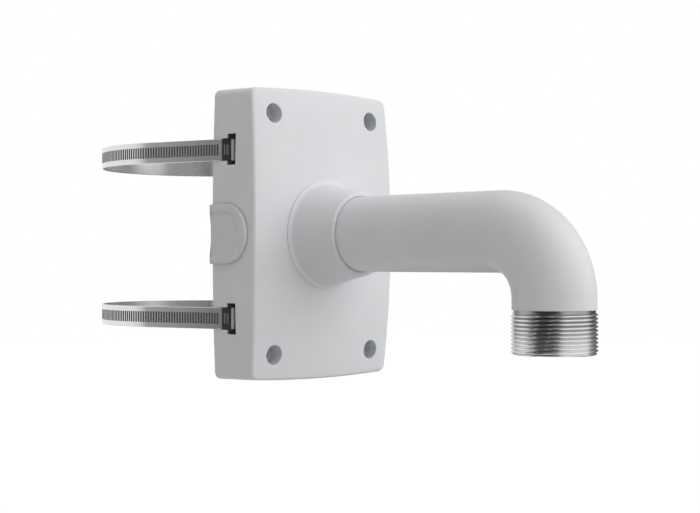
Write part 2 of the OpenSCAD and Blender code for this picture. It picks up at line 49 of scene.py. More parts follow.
# Sizes of the bracket in millimetres, as in the part's source
LOOP_R = 78.5
BAND_W, BAND_T, BAND_Z = 13.7, 0.8, 53.0
SILL, BEND, BEND_R = (77.14, 58.588), (81.54, 55.28), 1.5
GROOVE_PITCH, GROOVE_W, GROOVE_H, GROOVE_DEPTH = 2.1, 1.05, 6.7, 0.45
CLAMP_AZ = 135.0
ARM_R, ARM_BORE_R, ARM_X, ARM_REACH, BEND_RADIUS = 23.6, 19.5, 109.04, 292.5, 38.0
THREAD_R, THREAD_PITCH, THREAD_LEN, THREAD_TOP, THREAD_DEPTH = 24.13, 2.209, 24.65, -44.1, 1.3

WINDOW_HALF_H, WINDOW_FRONT_X, WINDOW_DEPTH = 11.0, 92.5, 14.0
BOSS_RING_R, BOSS_R, BOSS_LEN = 18.5, 5.0, 18.0

# The side walls lean by DRAFT and bulge on a circle of SIDE_R
DRAFT, SIDE_R = math.radians(1.4), 2029
LID_R, LID_NECK_R, LID_TAIL = 18.8, 15.8, 14.2
# Lid heights from the wall outwards: underside, middle of the face, rim; then neck, flange and slope
LID_LOW, LID_FACE, LID_RIM, LID_NECK_DEPTH, LID_FLANGE_T, LID_TIP = 0.3, 1.5, 2.5, 4.1, 1.6, 2.6
lid_low, lid_high = (np.array(corner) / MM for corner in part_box("left_side_lid"))
LID_PLACE_X = lid_high[0] - LID_R * math.cos(DRAFT) - LID_RIM * math.sin(DRAFT)
WALL_Y = -(lid_low[1] + LID_TAIL * math.sin(DRAFT) + LID_RIM * math.cos(DRAFT))


# Camera: the photograph's viewpoint, level, 1 m from the middle of the bracket
VIEW_AZ = math.radians(45.5)
PHOTO_W, FOCAL_PX, SHIFT_PX = 700.0, 1483.6, 4.44
camera_data = bpy.data.cameras.new("view_camera")
camera_data.sensor_width = 36.0
camera_data.sensor_fit = "HORIZONTAL"
camera_data.lens = 36.0 * FOCAL_PX / PHOTO_W
camera_data.shift_y = SHIFT_PX / PHOTO_W
camera = bpy.data.objects.new("view_camera", camera_data)
camera.location = (0.7994, -0.6568, -0.01685)
camera.rotation_euler = (math.pi / 2, 0.0, VIEW_AZ)
scene.collection.objects.link(camera)
scene.camera = camera
scene.view_settings.view_transform = "Standard"


# Node materials

def material(name):
    """A new material with its node tree, its shader and a helper that adds linked nodes."""
    mat = bpy.data.materials.new(name)
    mat.use_nodes = True
    tree = mat.node_tree
    shader = tree.nodes["Principled BSDF"]

    def add(kind, inputs=None, **settings):
        node = tree.nodes.new(kind)
        for key, value in settings.items():
            setattr(node, key, value)
        for key, value in (inputs or {}).items():
            if isinstance(value, bpy.types.NodeSocket):
                tree.links.new(value, node.inputs[key])
            else:
                node.inputs[key].default_value = value
        return node

    return mat, shader, add, tree.links.new


def noise(add, scale, detail=2.0, rough=0.5, stretch=None):
    """Noise on the piece's own Object coordinates, in features of about 1/scale metres."""
    place = add("ShaderNodeTexCoord").outputs["Object"]
    if stretch:
        place = add("ShaderNodeMapping", {"Vector": place, "Scale": stretch}).outputs["Vector"]
    return add("ShaderNodeTexNoise", {
        "Vector": place, "Scale": scale, "Detail": detail, "Roughness": rough,
    }).outputs["Fac"]


def ramp(add, fac, low, high, from_low=0.0, from_high=1.0):
    """fac in from_low..from_high carried to low..high."""
    return add("ShaderNodeMapRange", {
        "Value": fac, "From Min": from_low, "From Max": from_high, "To Min": low, "To Max": high,
    }).outputs["Result"]


def mix_colour(add, fac, a, b):
    node = add("ShaderNodeMix", data_type="RGBA")
    for key, value in ((0, fac), (6, a), (7, b)):
        if isinstance(value, bpy.types.NodeSocket):
            node.id_data.links.new(value, node.inputs[key])
        else:
            node.inputs[key].default_value = value
    return node.outputs[2]


def powder_coat(name, colour, rough, grain=0.10, window_shade=None):
    """Satin powder coat: a fine orange-peel bump under 1 mm, with faint drift of colour and gloss. An optional mask,
    from 0 to 1, marks where a near-black painted shade takes the place of the coat's colour."""
    mat, shader, add, link = material(name)
    drift = noise(add, 22.0, 3.0)
    tone = [c * 0.965 for c in colour[:3]] + [1.0]
    coat = mix_colour(add, ramp(add, drift, 0, 1, 0.35, 0.65), list(tone), colour)
    # painted shade: near-black on the walls of the band windows
    if window_shade:
        coat = mix_colour(add, window_shade(add), coat, (0.10, 0.10, 0.103, 1.0))
    link(coat, shader.inputs["Base Color"])
    link(ramp(add, noise(add, 900.0, 2.0), rough - 0.04, rough + 0.06, 0.3, 0.7), shader.inputs["Roughness"])
    peel = add("ShaderNodeBump", {"Height": noise(add, 1500.0, 3.0, 0.6), "Strength": grain, "Distance": 0.0002})
    link(peel.outputs["Normal"], shader.inputs["Normal"])
    shader.inputs["Specular IOR Level"].default_value = 0.45
    return mat


def moulded(name, colour, rough, grain=0.05):
    """Moulded plastic or rubber: fine spark-eroded grain, a little sheen at grazing angles."""
    mat, shader, add, link = material(name)
    tone = [c * 0.95 for c in colour[:3]] + [1.0]
    drift = ramp(add, noise(add, 60.0, 4.0), 0, 1, 0.3, 0.7)
    link(mix_colour(add, drift, tone, colour), shader.inputs["Base Color"])
    link(ramp(add, noise(add, 1200.0, 2.0), rough - 0.05, rough + 0.05, 0.3, 0.7), shader.inputs["Roughness"])
    grain_bump = add("ShaderNodeBump", {"Height": noise(add, 2600.0, 2.0), "Strength": grain, "Distance": 0.0001})
    link(grain_bump.outputs["Normal"], shader.inputs["Normal"])
    shader.inputs["Specular IOR Level"].default_value = 0.4
    return mat


def metal(name, colour, rough, stretch, scale=1.0, grain=0.08, metallic=1.0):
    """Bare metal with fine lines: noise stretched along the lines, in gloss, tone and bump. A low metallic
    makes it pale, with little shine, which on the bent strip is a painted highlight."""
    mat, shader, add, link = material(name)
    lines = noise(add, 1800.0 * scale, 3.0, 0.6, stretch)
    patch = noise(add, 30.0, 3.0)
    tone = [c * 0.88 for c in colour[:3]] + [1.0]
    link(mix_colour(add, ramp(add, lines, 0, 1, 0.3, 0.7), tone, colour), shader.inputs["Base Color"])
    link(ramp(add, patch, rough - 0.03, rough + 0.05, 0.3, 0.7), shader.inputs["Roughness"])
    line_bump = add("ShaderNodeBump", {"Height": lines, "Strength": grain, "Distance": 0.0001})
    link(line_bump.outputs["Normal"], shader.inputs["Normal"])
    shader.inputs["Metallic"].default_value = metallic
    return mat


def turned_metal(name):
    """The unpainted thread, as it left the lathe: bright crests with faint tool marks, and painted shade in the
    valleys, darkest near the neck."""
    mat, shader, add, link = material(name)
    place = add("ShaderNodeTexCoord").outputs["Object"]
    axes = add("ShaderNodeSeparateXYZ", {"Vector": place})
    off = add("ShaderNodeMath", {0: axes.outputs["X"], 1: ARM_REACH * MM}, operation="SUBTRACT").outputs[0]
    flat = add("ShaderNodeCombineXYZ", {"X": off, "Y": axes.outputs["Y"]})
    radius = add("ShaderNodeVectorMath", {0: flat.outputs[0]}, operation="LENGTH").outputs["Value"]
    valley = ramp(add, radius, 1, 0, (THREAD_R - 1.25) * MM, (THREAD_R - 0.35) * MM)
    height = ramp(add, axes.outputs["Z"], 0.1, 1, -0.064, -0.052)
    valley_shade = add("ShaderNodeMath", {0: valley, 1: height}, operation="MULTIPLY").outputs[0]
    marks = noise(add, 500.0, 2.0, 0.5, (0.02, 0.02, 6.0))
    bright = mix_colour(add, ramp(add, marks, 0, 1, 0.3, 0.7),
                        (0.80, 0.80, 0.81, 1.0), (0.88, 0.88, 0.89, 1.0))
    # painted shade: the valleys are darkened, most near the neck
    link(mix_colour(add, valley_shade, bright, (0.36, 0.36, 0.365, 1.0)), shader.inputs["Base Color"])
    link(ramp(add, marks, 0.24, 0.30, 0.3, 0.7), shader.inputs["Roughness"])
    shader.inputs["Metallic"].default_value = 1.0
    return mat


def strip_steel(name, colour, rough):
    """The stainless strip: rolling marks along it and a fine satin, with painted shade that darkens it towards
    the housing."""
    mat, shader, add, link = material(name)
    place = add("ShaderNodeTexCoord").outputs["Object"]
    axes = add("ShaderNodeSeparateXYZ", {"Vector": place})
    marks = noise(add, 900.0, 3.0, 0.6, (0.05, 0.05, 2.0))
    tone = [c * 0.93 for c in colour[:3]] + [1.0]
    plain = mix_colour(add, ramp(add, marks, 0, 1, 0.3, 0.7), tone, colour)
    housing_shade = [c * 0.76 for c in colour[:3]] + [1.0]
    # painted shade: the strip's colour darkens along X towards the housing
    link(mix_colour(add, ramp(add, axes.outputs["X"], 0, 1, 0.020, 0.078), plain, housing_shade), shader.inputs["Base Color"])
    link(ramp(add, noise(add, 40.0, 3.0), rough - 0.03, rough + 0.04, 0.3, 0.7), shader.inputs["Roughness"])
    satin = add("ShaderNodeBump", {"Height": marks, "Strength": 0.03, "Distance": 0.0001})
    link(satin.outputs["Normal"], shader.inputs["Normal"])
    shader.inputs["Metallic"].default_value = 1.0
    return mat


def inside_windows(add):
    """1 on the walls of the two band windows, from 0.4 mm below the skin of the side walls inwards: the housing's
    painted shade.
    """
    axes = add("ShaderNodeSeparateXYZ", {"Vector": add("ShaderNodeTexCoord").outputs["Object"]}).outputs

    def calc(operation, a, b=0.0):
        return add("ShaderNodeMath", {0: a, 1: b}, operation=operation).outputs[0]

    lean = calc("MULTIPLY", calc("SUBTRACT", axes["X"], LID_PLACE_X * MM), math.tan(DRAFT))
    bulge = calc("MULTIPLY", calc("MULTIPLY", axes["Z"], axes["Z"]), 0.5 / (SIDE_R * MM))
    skin = calc("SUBTRACT", calc("SUBTRACT", WALL_Y * MM, lean), bulge)
    under = calc("SUBTRACT", skin, calc("ABSOLUTE", axes["Y"]))
    below = ramp(add, under, 0, 1, 0.4 * MM, 1.2 * MM)
    band = calc("LESS_THAN", calc("ABSOLUTE", calc("SUBTRACT", calc("ABSOLUTE", axes["Z"]), BAND_Z * MM)),
                WINDOW_HALF_H * MM)
    front = calc("LESS_THAN", axes["X"], WINDOW_FRONT_X * MM)
    deep = calc("LESS_THAN", under, WINDOW_DEPTH * MM)
    return calc("MULTIPLY", calc("MULTIPLY", below, band), calc("MULTIPLY", front, deep))


def painted_light_steel(name, dark, pale, rough):
    """Steel in a colour painted for light: shade on the groove floors and the dip into the window, highlight on the
    dip's groove floors; dark and pale mix in uneven patches.
    """
    mat, shader, add, link = material(name)
    patches = noise(add, 900.0, 3.0)
    link(mix_colour(add, ramp(add, patches, 0, 1, 0.35, 0.65), dark, pale), shader.inputs["Base Color"])
    shader.inputs["Metallic"].default_value = 1.0
    shader.inputs["Roughness"].default_value = rough
    return mat


housing_paint = powder_coat("housing_powder_coat", (0.66, 0.67, 0.685, 1.0), 0.46, window_shade=inside_windows)
arm_paint = powder_coat("arm_powder_coat", (0.66, 0.667, 0.68, 1.0), 0.46)
lid_plastic = moulded("lid_grey_plastic", (0.63, 0.645, 0.63, 1.0), 0.55)
seal_rubber = moulded("black_seal_rubber", (0.028, 0.028, 0.03, 1.0), 0.62, 0.1)
turned_steel = turned_metal("turned_thread_metal")
bore_metal = metal("raw_bore_metal", (0.42, 0.42, 0.43, 1.0), 0.5, (1.0, 1.0, 0.3), grain=0.15)
band_steel = strip_steel("stainless_band", (0.80, 0.785, 0.78, 1.0), 0.26)
# painted highlight: a pale, nearly diffuse copy of the steel for the bend
bend_steel = metal("stainless_bend", (0.92, 0.92, 0.93, 1.0), 0.42, (0.05, 0.05, 2.0), grain=0.03,
                   metallic=0.15)
pressed_steel = metal("stainless_pressing", (0.68, 0.68, 0.685, 1.0), 0.30, (0.3, 0.3, 1.5))
screw_steel = metal("bright_screw_steel", (0.62, 0.62, 0.63, 1.0), 0.30, (1.0, 1.0, 1.0))
# painted shade: near-black groove floors
groove_steel = painted_light_steel("stainless_groove", (0.13, 0.13, 0.132, 1.0), (0.19, 0.19, 0.192, 1.0), 0.42)
# painted shade: the strip where it dips into the window
dip_steel = painted_light_steel("stainless_dip", (0.30, 0.29, 0.29, 1.0), (0.36, 0.35, 0.35, 1.0), 0.38)
# painted highlight: pale groove floors in the dip
dip_groove = painted_light_steel("stainless_dip_groove", (0.80, 0.79, 0.79, 1.0), (0.90, 0.89, 0.89, 1.0), 0.55)


# Surfaces from arrays

def grid_faces(rows, cols, wrap_rows, wrap_cols, start=0):
    """Quads between neighbouring points of a rows x cols grid that starts at vertex start."""
    r = np.arange(rows if wrap_rows else rows - 1)[:, None]
    c = np.arange(cols if wrap_cols else cols - 1)[None, :]
    r1, c1 = (r + 1) % rows, (c + 1) % cols
    quads = np.stack([r * cols + c, r1 * cols + c, r1 * cols + c1, r * cols + c1], axis=-1)
    return start + quads.reshape(-1, 4)


def outward(points, quads):
    """The quads turned so that the closed surface they make has a positive volume."""
    a, b, c, d = (points[quads[:, k]] for k in range(4))
    volume = (np.einsum("ij,ij->i", a, np.cross(b, c)) + np.einsum("ij,ij->i", a, np.cross(c, d))).sum()
    return quads if volume > 0 else quads[:, ::-1]


def quad_piece(name, parts, body, stands_for, materials, angle=35.0):
    """One object from closed grids. parts holds (points in mm, wrap_rows, wrap_cols, material index per
    quad or one for all); each grid is turned outwards and all of them share one mesh."""
    all_points, all_quads, all_index, start = [], [], [], 0
    for points, wrap_rows, wrap_cols, index in parts:
        rows, cols = points.shape[:2]
        flat = points.reshape(-1, 3)
        quads = outward(flat, grid_faces(rows, cols, wrap_rows, wrap_cols))
        all_points.append(flat)
        all_quads.append(quads + start)
        all_index.append(np.broadcast_to(np.asarray(index).reshape(-1), (len(quads),)))
        start += len(flat)
    points = np.concatenate(all_points) * MM
    quads = np.concatenate(all_quads)
    index = np.concatenate(all_index).astype(np.int32)
    mesh = bpy.data.meshes.new(name)
    mesh.vertices.add(len(points))
    mesh.vertices.foreach_set("co", points.ravel())
    mesh.loops.add(quads.size)
    mesh.loops.foreach_set("vertex_index", quads.ravel().astype(np.int32))
    mesh.polygons.add(len(quads))
    mesh.polygons.foreach_set("loop_start", np.arange(0, quads.size, 4, dtype=np.int32))
    mesh.polygons.foreach_set("material_index", index)
    mesh.polygons.foreach_set("use_smooth", np.ones(len(quads), dtype=bool))
    mesh.update(calc_edges=True)
    mesh.validate()
    for mat in materials:
        mesh.materials.append(mat)
    mesh.set_sharp_from_angle(angle=math.radians(angle))
    piece = bpy.data.objects.new(name, mesh)
    scene.collection.objects.link(piece)
    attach(piece, body)
    if stands_for:
        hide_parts(*stands_for)
    return piece


# CAD nodes that keep their shape: welded, smooth where faces meet at a small angle

def smooth_group(name, angle):
    """Geometry nodes that shade smooth, apart from edges that bend by more than angle."""
    tree = bpy.data.node_groups.new(name, "GeometryNodeTree")
    tree.interface.new_socket("Geometry", in_out="INPUT", socket_type="NodeSocketGeometry")
    tree.interface.new_socket("Geometry", in_out="OUTPUT", socket_type="NodeSocketGeometry")
    start, end = tree.nodes.new("NodeGroupInput"), tree.nodes.new("NodeGroupOutput")
    faces = tree.nodes.new("GeometryNodeSetShadeSmooth")
    edges = tree.nodes.new("GeometryNodeSetShadeSmooth")
    edges.domain = "EDGE"
    edges.inputs["Shade Smooth"].default_value = False
    bend = tree.nodes.new("GeometryNodeInputMeshEdgeAngle")
    over = tree.nodes.new("ShaderNodeMath")
    over.operation = "GREATER_THAN"
    over.inputs[1].default_value = math.radians(angle)
    tree.links.new(start.outputs[0], faces.inputs["Geometry"])
    tree.links.new(faces.outputs[0], edges.inputs["Geometry"])
    tree.links.new(bend.outputs["Unsigned Angle"], over.inputs[0])
    tree.links.new(over.outputs[0], edges.inputs["Selection"])
    tree.links.new(edges.outputs[0], end.inputs[0])
    return tree


smooth_shading = smooth_group("smooth_under_35_degrees", 35.0)


def dress(node, mat):
    """A CAD node gets its material, its triangles joined and smooth shading."""
    piece = nodes[node]
    piece.data.materials.clear()
    piece.data.materials.append(mat)
    weld = piece.modifiers.new("joined", "WELD")
    weld.merge_threshold = 2e-6
    smooth = piece.modifiers.new("smooth", "NODES")
    smooth.node_group = smooth_shading


dress("housing", housing_paint)
for name in ("arm_gasket", "cable_grommet"):
    dress(name, seal_rubber)
for i in range(1, 5):
    dress(f"arm_screw_{i}", screw_steel)
    dress(f"arm_washer_{i}", screw_steel)
for name in ("upper", "lower"):
    dress(f"{name}_clamp_housing", pressed_steel)
    dress(f"{name}_worm_screw", screw_steel)


# The arm: rings carried along its axis, then back through the bore, with a helical thread at the end

def thread_radius(turn, height):
    """Crest and root of the thread: a 60 degree saw-tooth with small flats, over height above the open
    end less turn of a pitch. It fades out over one pitch at the neck and is cut by the end chamfer."""
    phase = np.mod(height / THREAD_PITCH - turn, 1.0)
    flank = np.abs(phase - 0.5) * 2.0
    tooth = np.clip((flank - 0.10) / 0.72, 0.0, 1.0)
    depth = THREAD_DEPTH * (1.0 - tooth)
    fade = np.clip((THREAD_LEN - 1.2 - height) / (0.5 * THREAD_PITCH), 0.0, 1.0)
    depth = fade * depth + (1.0 - fade) * THREAD_DEPTH
    chamfer = np.clip(THREAD_R - 1.6 + height * 1.6, 0.0, THREAD_R)
    return np.minimum(THREAD_R - depth, chamfer)


def build_arm():
    """Stations along the axis: straight, quarter bend, short drop; a ring at each of radius r in the plane
    across the axis. The thread's rings take their radius from thread_radius round the turn. The bore's
    stations run back inside, and the grid closes on itself both ways."""
    around = 160
    phi = np.linspace(0, 2 * np.pi, around, endpoint=False)
    bend_start = ARM_REACH - BEND_RADIUS

    def path(s):
        """Centre and across-direction of the axis at length s from the socket."""
        straight = bend_start - ARM_X
        arc = BEND_RADIUS * np.pi / 2
        t = np.clip((s - straight) / BEND_RADIUS, 0, np.pi / 2)
        x = ARM_X + np.minimum(s, straight) + BEND_RADIUS * np.sin(t)
        z = -BEND_RADIUS * (1 - np.cos(t)) - np.maximum(s - straight - arc, 0)
        return np.stack([x, 0 * x, z], -1), np.stack([np.sin(t), 0 * t, np.cos(t)], -1)

    straight = bend_start - ARM_X
    neck = straight + BEND_RADIUS * np.pi / 2 + (-THREAD_TOP - BEND_RADIUS)
    end = neck + THREAD_LEN
    outer_s = np.concatenate([
        [0.0, 0.3, 0.6], np.linspace(2, straight - 1, 24), np.linspace(straight, neck - 6.2, 40),
        np.linspace(neck - 5, neck - 0.5, 6), [neck - 0.25, neck - 0.08, neck]])
    outer_r = np.full(len(outer_s), ARM_R)
    outer_r[0:3] = [ARM_R - 0.6, ARM_R - 0.18, ARM_R]
    outer_r[-3:] = [ARM_R - 0.04, ARM_R - 0.2, ARM_R - 0.5]
    thread_s = np.linspace(neck + 0.02, end, 190)
    lip_s = np.array([end, end, end - 0.5])
    lip_r = np.array([THREAD_R - 1.9, ARM_BORE_R + 0.5, ARM_BORE_R])
    bore_s = np.concatenate([
        np.linspace(end - 2, neck, 6), np.linspace(neck - 1, straight, 36), np.linspace(straight - 2, 0, 14)])
    s = np.concatenate([outer_s, thread_s, lip_s, bore_s])
    centre, across = path(s)
    r = np.zeros((len(s), around))
    n0, n1, n2 = len(outer_s), len(thread_s), len(lip_s)
    r[:n0] = outer_r[:, None]
    r[n0:n0 + n1] = thread_radius((phi / (2 * np.pi))[None, :], (end - thread_s)[:, None])
    r[n0 + n1:n0 + n1 + n2] = lip_r[:, None]
    r[n0 + n1 + n2:] = ARM_BORE_R
    side = np.array([0.0, 1.0, 0.0])
    points = centre[:, None, :] + r[..., None] * (
        np.cos(phi)[None, :, None] * across[:, None, :] + np.sin(phi)[None, :, None] * side)
    index = np.zeros((len(s), around), dtype=int)
    index[n0 - 2:n0 + n1 + n2 + 3] = 1
    index[n0 + n1 + n2 + 3:] = 2
    # Four screw bosses inside the socket end, as stepped cylinders along X
    bosses = []
    turn = np.linspace(0, 2 * np.pi, 40, endpoint=False)
    for i in range(4):
        angle = math.radians(45 + 90 * i)
        cy, cz = BOSS_RING_R * math.cos(angle), BOSS_RING_R * math.sin(angle)
        x = ARM_X + np.array([0.02, 0.02, BOSS_LEN - 0.4, BOSS_LEN, BOSS_LEN])
        rr = np.array([0.02, BOSS_R, BOSS_R, BOSS_R - 0.4, 0.02])
        bosses.append((np.stack([
            np.broadcast_to(x[:, None], (5, 40)), cy + rr[:, None] * np.cos(turn),
            cz + rr[:, None] * np.sin(turn)], -1),
            False, True, 2))
    return quad_piece("gooseneck_arm", [(points, True, True, index)] + bosses, "bracket",
                      ["arm"], [arm_paint, turned_steel, bore_metal], 30.0)


build_arm()


# The bands: a strip carried round the loop, with pressed grooves in its outer face

BAND_OUT_R = LOOP_R + BAND_T
LAP_R = BAND_OUT_R + 0.05
LAP_OUT_R = LAP_R + BAND_T
CLAMP_LEN = 13.0 + 1.0 + 2 * 0.9
LEAVE_A = math.degrees(math.atan2(SILL[1], SILL[0]) + math.acos((LOOP_R - BEND_R) / math.hypot(*SILL)))
DIP_A = math.degrees(math.atan2(BEND[0] - SILL[0], SILL[1] - BEND[1]))
HALF_A = math.degrees(CLAMP_LEN / 2 / LOOP_R)
FIXED_A = CLAMP_AZ + HALF_A / 2
LAP_A = CLAMP_AZ + HALF_A
RISE_A = LAP_A + math.degrees(5 / LOOP_R)
TAIL_A = CLAMP_AZ - HALF_A - math.degrees(34.0 / LAP_R)
MARGIN_A = math.degrees(2 * GROOVE_PITCH / LOOP_R)


def groove_press(off):
    """How far a groove is pressed in at a distance off from its middle, from 0 to 1, with sloping flanks."""
    return np.clip((GROOVE_W / 2 + 0.08 - np.abs(off)) / 0.16, 0, 1)


def band_path():
    """The strip's inner line in plan, clockwise from its fixed end: an arc, a straight to the
    sill, the dip from the sill to the bend, across the inside of the housing and the same mirrored, then
    the rise to the lap. Each row holds x, y, the outward normal and how far a groove is pressed in."""
    step = math.degrees(GROOVE_PITCH / BAND_OUT_R)

    def unit(a, sign=1):
        return np.stack([np.cos(np.radians(a)), sign * np.sin(np.radians(a))], -1)

    def arc(a0, a1, r, first=None, last=None, step=step):
        """Points on the circle r from angle a0 to a1, with grooves a step apart from first to last."""
        count = int(abs(a0 - a1) / step * 12) + 2 if first is not None else int(abs(a0 - a1)) + 2
        a = np.linspace(a0, a1, count)
        pressed = 0 * a
        if first is not None:
            turn = 1 if last > first else -1
            near = np.clip(np.round((a - first) * turn / step), 0, math.floor(abs(last - first) / step))
            pressed = groove_press(np.radians(a - first - turn * near * step) * r)
        return np.concatenate([r * unit(a), unit(a), pressed[:, None]], -1)

    def straight(start, r, a, length):
        """Points on the tangent at angle a of the circle r about start, with grooves half a pitch in."""
        d = np.linspace(0, length, int(length / GROOVE_PITCH * 12) + 2)
        last = math.floor((length - GROOVE_PITCH) / GROOVE_PITCH)
        near = np.clip(np.round(d / GROOVE_PITCH - 0.5), 0, last)
        n = unit(a)
        p = np.asarray(start) + r * n + d[:, None] * np.array([n[1], -n[0]])
        pressed = groove_press(d - (near + 0.5) * GROOVE_PITCH)
        return np.concatenate([p, np.broadcast_to(n, p.shape), pressed[:, None]], -1)

    def corner(centre, a0, a1):
        a = np.linspace(a0, a1, 9)
        return np.concatenate([np.asarray(centre) + BEND_R * unit(a), unit(a), 0 * a[:, None]], -1)

    side = np.concatenate([
        straight((0, 0), LOOP_R, LEAVE_A, math.sqrt(np.dot(SILL, SILL) - (LOOP_R - BEND_R) ** 2)),
        corner(SILL, LEAVE_A, DIP_A),
        straight(SILL, BEND_R, DIP_A, math.dist(SILL, BEND)),
        corner(BEND, DIP_A, 0)])
    mirrored = side[::-1] * np.array([1, -1, 1, -1, 1])
    y = np.linspace(BEND[1], -BEND[1], 30)[1:-1]
    across = np.stack([0 * y + BEND[0] + BEND_R, y, 0 * y + 1, 0 * y, 0 * y], -1)
    k = np.linspace(0, 1, 8)[1:-1, None]
    low, high = LOOP_R * unit(RISE_A), LAP_R * unit(LAP_A)
    rise = np.concatenate([low + k * (high - low), unit(RISE_A + (LAP_A - RISE_A) * k[:, 0]), 0 * k], -1)
    path = np.concatenate([
        arc(FIXED_A, LEAVE_A, LOOP_R, LEAVE_A + step / 2, TAIL_A - MARGIN_A),
        side, across, mirrored,
        arc(360 - LEAVE_A, RISE_A, LOOP_R, 360 - LEAVE_A - step / 2, RISE_A + MARGIN_A),
        rise,
        arc(LAP_A, TAIL_A, LAP_R, TAIL_A + MARGIN_A, CLAMP_AZ - HALF_A - MARGIN_A / 2,
            math.degrees(GROOVE_PITCH / LAP_OUT_R))])
    keep = np.append(True, np.linalg.norm(np.diff(path[:, :2], axis=0), axis=1) > 1e-3)
    return path[keep]


def build_band(name, node, middle):
    """The section is a strip BAND_W high and BAND_T thick with rounded edges; in the middle GROOVE_H of the
    outer face a groove is pressed in by GROOVE_DEPTH with sloping sides, its floor in painted shade. Beyond the
    sill, the dip into the window is in painted shade with painted highlights on its groove floors, and the bend at
    its end has a painted highlight."""
    path = band_path()
    half, edge, g = BAND_W / 2, 0.25, GROOVE_H / 2
    outer_z = np.array([-half, -half + edge, -g - 0.5, -g - 0.1, -g + 0.1, -g + 0.5, -1.5, 0, 1.5,
                        g - 0.5, g - 0.1, g + 0.1, g + 0.5, half - edge, half])
    outer_t = np.array([BAND_T - edge] + [BAND_T] * 13 + [BAND_T - edge])
    press = np.array([0, 0, 0, 0, 1, 1, 1, 1, 1, 1, 1, 0, 0, 0, 0], dtype=float)
    z = np.concatenate([outer_z, [half, half - edge, -half + edge, -half]])
    t = np.concatenate([outer_t, [edge, 0, 0, edge]])
    press = np.concatenate([press, [0, 0, 0, 0]])
    thick = t[None, :] - GROOVE_DEPTH * press[None, :] * path[:, 4][:, None]
    xy = path[:, None, :2] + thick[..., None] * path[:, None, 2:4]
    points = np.concatenate([xy, np.broadcast_to((middle + z)[None, :, None], xy.shape[:2] + (1,))], -1)
    ends = [np.broadcast_to(points[k].mean(0), points[k].shape)[None] * 0.999 + points[k][None] * 0.001
            for k in (0, -1)]
    points = np.concatenate([ends[0], points, ends[1]])
    deep = np.concatenate([[0], path[:, 4], [0]])
    beside = np.roll(press, -1)
    pressed = (np.maximum(deep[:-1], deep[1:])[:, None] > 0.1) & (np.maximum(press, beside)[None, :] > 0.1)
    facing = np.abs(np.degrees(np.arctan2(path[:, 3], path[:, 2])))
    facing = np.concatenate([facing[:1], (facing[1:] + facing[:-1]) / 2, facing[-1:]])[:, None]
    dip = (np.abs(facing - DIP_A) < 1.0) & (points[:-1, :1, 0] > SILL[0])
    bend = (facing > 1.0) & (facing < DIP_A - 1.0) & (points[:-1, :1, 0] > SILL[0])
    floor = (np.minimum(deep[:-1], deep[1:])[:, None] > 0.9) & (np.minimum(press, beside)[None, :] > 0.5)
    # painted shade on the groove floors and the dip, painted highlights on the dip's groove floors and the bend
    index = np.where(bend, 4, np.where(dip, 2 + floor, pressed))
    return quad_piece(name, [(points, False, True, index)], "bracket", [node],
                      [band_steel, groove_steel, dip_steel, dip_groove, bend_steel], 30.0)


build_band("upper_clamp_band", "upper_band", BAND_Z)
build_band("lower_clamp_band", "lower_band", -BAND_Z)


# The lids: U-shaped plates from rings that shrink from the outline to its middle line

def u_plate(r, profile):
    """Rings of the outline, a half disc of radius r with a straight tail to the rear, drawn in by each
    distance of profile at its height, and by LID_TIP more at the tip of the rim's slope. The first and
    last close the middle, and both ends are capped."""
    inset, height = (np.array(column)[None, :] for column in zip(*profile))
    tail = np.linspace(-LID_TAIL, 0, 10)[:-1, None]
    t = np.linspace(np.pi / 2, -np.pi / 2, 61)[:, None]
    left = r - inset
    tip = left - LID_TIP * np.interp(inset, [1.5, 4.3, 5.4, r], [0, 1, 1, 0])
    x = np.concatenate([tail + 0 * left, tip * np.cos(t), tail[::-1] + 0 * left])
    y = np.concatenate([left + 0 * tail, left * np.sin(t), -left + 0 * tail])
    points = np.stack([x, y, height + 0 * x], -1)
    end = np.broadcast_to([-LID_TAIL, 0.0, (height[0, 0] + height[0, -1]) / 2], points[:1].shape)
    return np.concatenate([end, points, end])


def lid_section():
    """Inset and height of the outer plate: a flat face, a soft slope to the rim, a rounded edge and the
    underside."""
    slope = np.linspace(0, 1, 9)
    soft = slope * slope * (3 - 2 * slope)
    rim = [(LID_R, LID_FACE), (12.0, LID_FACE), (8.0, LID_FACE)]
    rim += [(5.3 - 1.0 * k, LID_FACE + (LID_RIM - LID_FACE) * h) for k, h in zip(slope, soft)]
    rim += [(3.0, LID_RIM), (1.5, LID_RIM)]
    rim += [(0.9 * (1 - math.sin(a)), LID_RIM - 0.9 * (1 - math.cos(a)))
            for a in np.linspace(0.05, 1, 7) * math.pi / 2]
    return rim + [(0.0, LID_LOW + 0.1), (0.1, LID_LOW), (3.0, LID_LOW), (LID_R, LID_LOW)]


def build_lid(name, node, body, side):
    """Outer plate, neck through the slot and inner flange, leaning with the wall; side is 1 on the left."""
    flange_r, back = LID_R - 0.3, -LID_NECK_DEPTH - LID_FLANGE_T
    neck_low = -LID_NECK_DEPTH - 0.2
    neck = [(LID_NECK_R, 0.5), (0.0, 0.5), (0.0, neck_low), (LID_NECK_R, neck_low)]
    flange = [(flange_r, -LID_NECK_DEPTH), (0.2, -LID_NECK_DEPTH), (0.0, neck_low),
              (0.0, back + 0.2), (0.2, back), (flange_r, back)]
    parts = []
    for r, profile in ((LID_R, lid_section()), (LID_NECK_R, neck), (flange_r, flange)):
        local = u_plate(r, profile)
        x = LID_PLACE_X + local[..., 0] * math.cos(DRAFT) + local[..., 2] * math.sin(DRAFT)
        y = -WALL_Y + local[..., 0] * math.sin(DRAFT) - local[..., 2] * math.cos(DRAFT)
        parts.append((np.stack([x, side * y, local[..., 1]], -1), False, False, 0))
    return quad_piece(name, parts, body, [node], [lid_plastic], 40.0)


